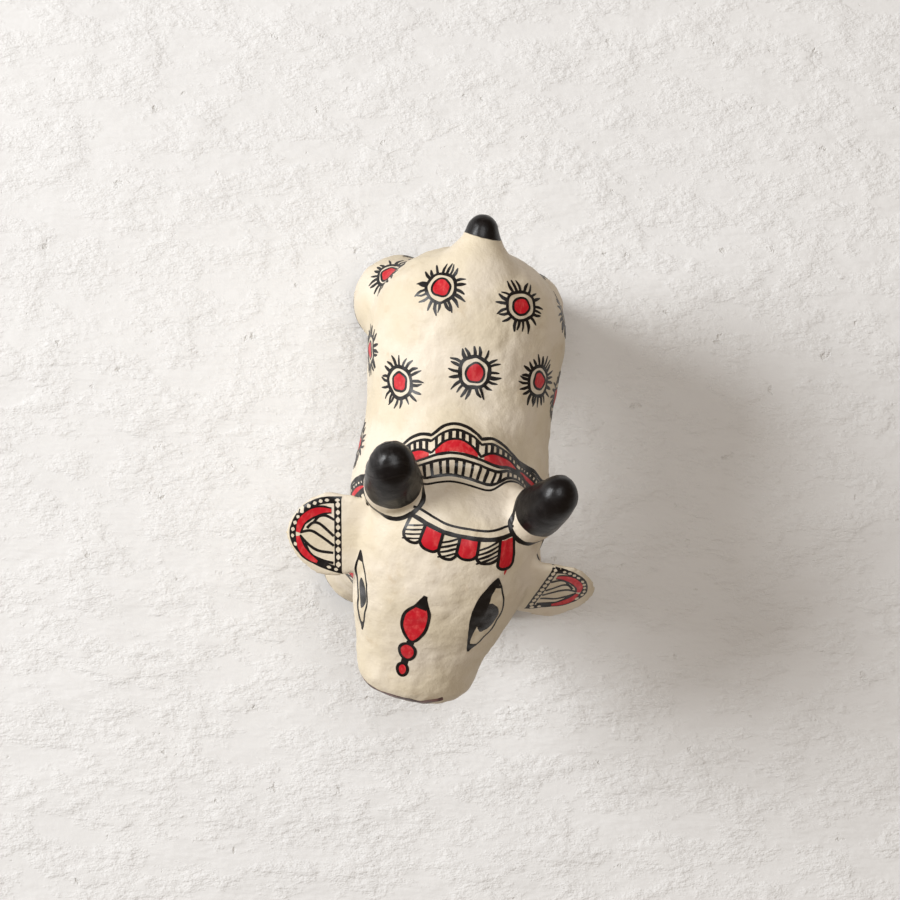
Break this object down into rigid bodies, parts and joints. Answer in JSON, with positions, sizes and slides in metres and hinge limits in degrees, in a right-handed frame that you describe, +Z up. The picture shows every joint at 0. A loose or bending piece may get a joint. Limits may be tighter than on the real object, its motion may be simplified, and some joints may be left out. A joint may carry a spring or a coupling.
{
  "type": "painted paper bull figure",
  "caption": "Small standing papier-mache bull with stub legs, horns, leaf ears and a stub tail, painted with suns, a garland and a headband; a shelf ornament.",
  "frame": {"origin": "on the surface the bull stands on, under the middle of its bounding box", "axes": "+Z up, the bull faces -Y, so its own left side is at +X and its tail points to +Y"},
  "size_m": [0.0826, 0.1298, 0.1077],
  "materials": {
    "painted_paper": "matt hand-painted cream over lumpy paper pulp, with red and black line painting",
    "black_paint": "glossy black paint over paper pulp",
    "kraft_paper": "raw rolled brown paper",
    "bamboo": "raw split bamboo"
  },
  "bodies": {
    "root": {"body_left_half": "painted_paper", "body_right_half": "painted_paper", "head_left_half": "painted_paper", "head_right_half": "painted_paper", "neck_collar": "kraft_paper", "leg_front_left": "painted_paper", "leg_front_right": "painted_paper", "leg_hind_left": "painted_paper", "leg_hind_right": "painted_paper", "leg_peg_front_left": "bamboo", "leg_peg_front_right": "bamboo", "leg_peg_hind_left": "bamboo", "leg_peg_hind_right": "bamboo", "horn_left": "black_paint", "horn_right": "black_paint", "horn_peg_left": "bamboo", "horn_peg_right": "bamboo", "ear_left": "painted_paper", "ear_right": "painted_paper", "tail": "painted_paper", "tail_peg": "bamboo"}
  },
  "joints": []
}
